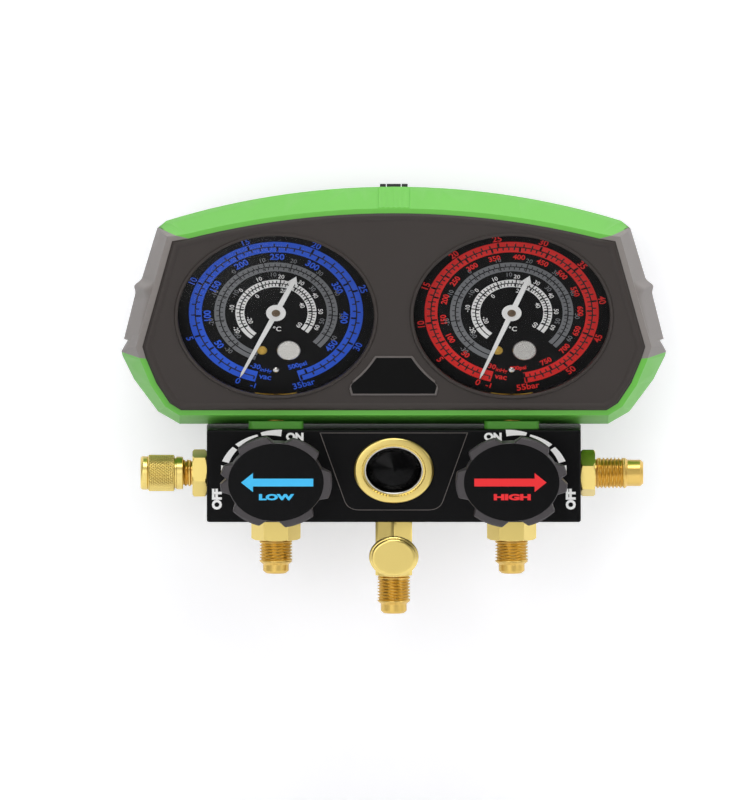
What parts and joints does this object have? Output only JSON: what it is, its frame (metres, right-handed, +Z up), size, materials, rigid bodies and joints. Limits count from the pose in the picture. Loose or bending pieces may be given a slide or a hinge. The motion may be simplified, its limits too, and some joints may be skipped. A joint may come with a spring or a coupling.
{
  "type": "refrigerant manifold gauge",
  "caption": "Refrigerant manifold gauge: two dial gauges in a padded housing on a valve block with hand knobs, a sight glass and brass flare ports.",
  "frame": {"origin": "centre of the service port's tip, at the bottom of the tee", "axes": "+X towards the high-pressure side, -Y is the front with the dials, +Z up through the service tee"},
  "size_m": [0.1826, 0.0723, 0.1751],
  "materials": {
    "anodised_block": "black anodised, satin",
    "brass_fittings": "turned brass",
    "rubber_seals": "moulded rubber",
    "sight_glass": "clear glass",
    "knob_plastic": "moulded dark grey plastic",
    "knob_cap_plastic": "gloss black printed disc",
    "plated_steel": "zinc-plated steel",
    "valve_brass": "turned brass",
    "cover_plastic": "moulded textured plastic",
    "bezel_plastic": "moulded fine-textured plastic",
    "badge_plastic": "satin black plate",
    "green_rubber": "soft green overmould",
    "grey_rubber": "soft grey overmould",
    "lens_glass": "clear polycarbonate",
    "movement_brass": "stamped brass",
    "dial_paint": "printed aluminium dial",
    "pointer_paint": "white enamel",
    "hook_paint": "black coated steel"
  },
  "bodies": {
    "manifold": {"badge_plate": "badge_plastic", "bottom_bumper": "green_rubber", "front_bezel": "bezel_plastic", "high_bourdon_tube": "movement_brass", "high_calibration_screw": "plated_steel", "high_dial_plate": "dial_paint", "high_gauge_case": "plated_steel", "high_gauge_lens": "lens_glass", "high_gauge_socket": "movement_brass", "high_hose_port": "brass_fittings", "high_movement_frame": "movement_brass", "high_packing_nut": "valve_brass", "high_side_port": "brass_fittings", "hook_bracket": "hook_paint", "hook_pin": "plated_steel", "housing_screws": "plated_steel", "left_grip": "grey_rubber", "low_bourdon_tube": "movement_brass", "low_calibration_screw": "plated_steel", "low_dial_plate": "dial_paint", "low_gauge_case": "plated_steel", "low_gauge_lens": "lens_glass", "low_gauge_socket": "movement_brass", "low_hose_port": "brass_fittings", "low_movement_frame": "movement_brass", "low_packing_nut": "valve_brass", "low_side_port": "brass_fittings", "manifold_block": "anodised_block", "rear_cover": "cover_plastic", "right_grip": "grey_rubber", "service_tee": "brass_fittings", "sight_glass_lens": "sight_glass", "sight_glass_ring": "brass_fittings", "sight_glass_seal": "rubber_seals", "top_bumper": "green_rubber"},
    "low_knob_set": {"low_knob": "knob_plastic", "low_knob_cap": "knob_cap_plastic", "low_knob_screw": "plated_steel", "low_valve_stem": "valve_brass", "low_stem_seals": "rubber_seals"},
    "low_sector": {"low_sector_gear": "movement_brass"},
    "low_pointer_set": {"low_pointer": "pointer_paint", "low_pinion_arbor": "movement_brass"},
    "low_link_bar": {"low_link": "movement_brass"},
    "high_knob_set": {"high_knob": "knob_plastic", "high_knob_cap": "knob_cap_plastic", "high_knob_screw": "plated_steel", "high_valve_stem": "valve_brass", "high_stem_seals": "rubber_seals"},
    "high_sector": {"high_sector_gear": "movement_brass"},
    "high_pointer_set": {"high_pointer": "pointer_paint", "high_pinion_arbor": "movement_brass"},
    "high_link_bar": {"high_link": "movement_brass"},
    "low_cap_set": {"low_port_cap": "brass_fittings", "low_cap_seal": "rubber_seals"},
    "tee_cap_set": {"tee_port_cap": "brass_fittings", "tee_cap_seal": "rubber_seals"},
    "hook_arm": {"hook": "hook_paint"}
  },
  "joints": [
    {"name": "low_knob_turn", "type": "hinge", "parent": "manifold", "child": "low_knob_set", "pos_m": [-0.0395, -0.03, 0.0576], "axis": [0, 1, 0], "range_deg": [0, 90]},
    {"name": "low_sector_turn", "type": "hinge", "parent": "manifold", "child": "low_sector", "pos_m": [-0.0277, 0.0036, 0.11544], "axis": [0, -1, 0], "range_deg": [-1.3, 45.4], "stiffness_Nm_per_rad": 0.02},
    {"name": "low_pointer_turn", "type": "hinge", "parent": "manifold", "child": "low_pointer_set", "pos_m": [-0.0395, 0, 0.1237], "axis": [0, 1, 0], "range_deg": [-9.6, 318.3]},
    {"name": "low_link_turn", "type": "hinge", "parent": "low_sector", "child": "low_link_bar", "pos_m": [-0.02115, 0.0025, 0.11085], "axis": [0, -1, 0], "range_deg": [-45.9, 1.8]},
    {"name": "high_knob_turn", "type": "hinge", "parent": "manifold", "child": "high_knob_set", "pos_m": [0.0395, -0.03, 0.0576], "axis": [0, -1, 0], "range_deg": [0, 90]},
    {"name": "high_sector_turn", "type": "hinge", "parent": "manifold", "child": "high_sector", "pos_m": [0.0513, 0.0036, 0.11544], "axis": [0, -1, 0], "range_deg": [-0.86, 46.87], "stiffness_Nm_per_rad": 0.02},
    {"name": "high_pointer_turn", "type": "hinge", "parent": "manifold", "child": "high_pointer_set", "pos_m": [0.0395, 0, 0.1237], "axis": [0, 1, 0], "range_deg": [-6.52, 328.59]},
    {"name": "high_link_turn", "type": "hinge", "parent": "high_sector", "child": "high_link_bar", "pos_m": [0.05785, 0.0025, 0.11085], "axis": [0, -1, 0], "range_deg": [-47.37, 1.36]},
    {"name": "low_cap_off", "type": "slide", "parent": "manifold", "child": "low_cap_set", "axis": [-1, 0, 0], "range_m": [0, 0.014]},
    {"name": "tee_cap_off", "type": "slide", "parent": "manifold", "child": "tee_cap_set", "axis": [0, -1, 0], "range_m": [0, 0.009]},
    {"name": "hook_fold", "type": "hinge", "parent": "manifold", "child": "hook_arm", "pos_m": [0, 0.028, 0.1709], "axis": [1, 0, 0], "range_deg": [0, 180]}
  ],
  "couplings": [
    {"joint": "low_pointer_turn", "follows": "low_sector_turn", "ratio": 7},
    {"joint": "low_link_turn", "follows": "low_sector_turn", "ratio": -1},
    {"joint": "high_pointer_turn", "follows": "high_sector_turn", "ratio": 7},
    {"joint": "high_link_turn", "follows": "high_sector_turn", "ratio": -1}
  ]
}
